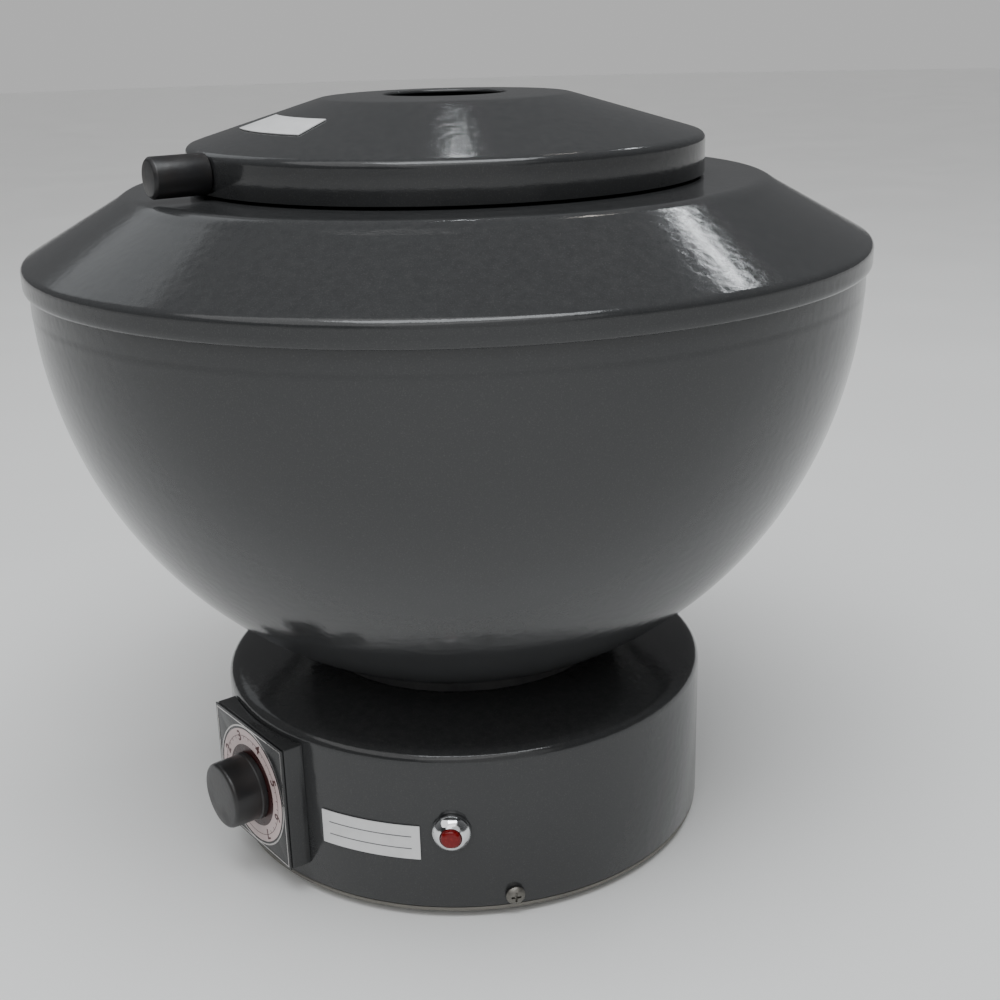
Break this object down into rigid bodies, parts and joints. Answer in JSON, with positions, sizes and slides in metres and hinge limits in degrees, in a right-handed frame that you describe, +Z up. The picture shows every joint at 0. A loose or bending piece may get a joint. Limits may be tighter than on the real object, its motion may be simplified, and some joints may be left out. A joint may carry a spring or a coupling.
{
  "type": "benchtop centrifuge",
  "caption": "Benchtop laboratory centrifuge: spun bowl chamber on a drum base, hinged lid with side handle, swing-out bucket rotor and speed dial.",
  "frame": {"origin": "on the machine's axis, in the plane that the rubber feet stand on", "axes": "+Z up along the rotor's axis; the pilot lamp is at the front, towards -Y, and the cable gland at the back, towards +Y"},
  "size_m": [0.4, 0.4, 0.37],
  "materials": {
    "charcoal_enamel": "high-gloss charcoal grey enamel",
    "black_bakelite": "polished black bakelite",
    "dial_black": "black dial plate with a printed pale scale",
    "chrome": "bright chrome",
    "zinc_steel": "dull zinc plate",
    "bright_steel": "turned steel",
    "cast_aluminium": "cast, satin",
    "laminations": "varnished laminations",
    "black_rubber": "matte rubber",
    "red_lens": "moulded translucent red",
    "label_white": "blank satin white label"
  },
  "bodies": {
    "housing": {"base_housing": "charcoal_enamel", "base_plate": "zinc_steel", "foot_1": "black_rubber", "foot_2": "black_rubber", "foot_3": "black_rubber", "foot_4": "black_rubber", "base_screw_1": "zinc_steel", "base_screw_2": "zinc_steel", "base_screw_3": "zinc_steel", "base_screw_4": "zinc_steel", "bowl": "charcoal_enamel", "bowl_cover": "charcoal_enamel", "bowl_seat_ring": "black_rubber", "bowl_bolt_1": "zinc_steel", "bowl_bolt_2": "zinc_steel", "bowl_bolt_3": "zinc_steel", "motor_can": "charcoal_enamel", "motor_top_bell": "cast_aluminium", "motor_bottom_bell": "cast_aluminium", "upper_bearing": "bright_steel", "lower_bearing": "bright_steel", "stator": "laminations", "motor_mount_1": "black_rubber", "motor_mount_2": "black_rubber", "motor_mount_3": "black_rubber", "motor_gaiter": "black_rubber", "dial_box": "charcoal_enamel", "dial_plate": "dial_black", "selector_switch": "black_bakelite", "lamp_bezel": "chrome", "lamp_lens": "red_lens", "cable_gland": "black_rubber", "fuse_holder": "black_bakelite", "base_label": "label_white", "hinge_bracket": "charcoal_enamel", "hinge_pin": "bright_steel"},
    "lid": {"lid": "charcoal_enamel", "lid_handle": "black_bakelite", "handle_screw": "zinc_steel", "hinge_leaf": "charcoal_enamel", "lid_label": "label_white"},
    "selector": {"selector_knob": "black_bakelite", "selector_spindle": "bright_steel"},
    "rotor": {"motor_shaft": "bright_steel", "armature": "laminations", "rotor_head": "cast_aluminium", "rotor_nut": "chrome"},
    "swing_bucket_1": {"trunnion_ring_1": "cast_aluminium", "bucket_1": "bright_steel", "bucket_cushion_1": "black_rubber"},
    "swing_bucket_2": {"trunnion_ring_2": "cast_aluminium", "bucket_2": "bright_steel", "bucket_cushion_2": "black_rubber"},
    "swing_bucket_3": {"trunnion_ring_3": "cast_aluminium", "bucket_3": "bright_steel", "bucket_cushion_3": "black_rubber"},
    "swing_bucket_4": {"trunnion_ring_4": "cast_aluminium", "bucket_4": "bright_steel", "bucket_cushion_4": "black_rubber"}
  },
  "joints": [
    {"name": "lid_hinge", "type": "hinge", "parent": "housing", "child": "lid", "pos_m": [0.11657, 0.07005, 0.33853], "axis": [-0.515, 0.8572, 0], "range_deg": [0, 100]},
    {"name": "selector_turn", "type": "hinge", "parent": "housing", "child": "selector", "pos_m": [-0.10669, -0.07638, 0.0489], "axis": [-0.8131, -0.5821, 0], "range_deg": [-300, 0]},
    {"name": "rotor_spin", "type": "hinge", "parent": "housing", "child": "rotor", "pos_m": [0, 0, 0.23003], "axis": [0, 0, 1], "continuous": true},
    {"name": "bucket_swing_1", "type": "hinge", "parent": "rotor", "child": "swing_bucket_1", "pos_m": [0.085, 0, 0.23003], "axis": [0, -1, 0], "range_deg": [-15, 90]},
    {"name": "bucket_swing_2", "type": "hinge", "parent": "rotor", "child": "swing_bucket_2", "pos_m": [0, 0.085, 0.23003], "axis": [1, 0, 0], "range_deg": [-15, 90]},
    {"name": "bucket_swing_3", "type": "hinge", "parent": "rotor", "child": "swing_bucket_3", "pos_m": [-0.085, 0, 0.23003], "axis": [0, 1, 0], "range_deg": [-15, 90]},
    {"name": "bucket_swing_4", "type": "hinge", "parent": "rotor", "child": "swing_bucket_4", "pos_m": [0, -0.085, 0.23003], "axis": [-1, 0, 0], "range_deg": [-15, 90]}
  ]
}
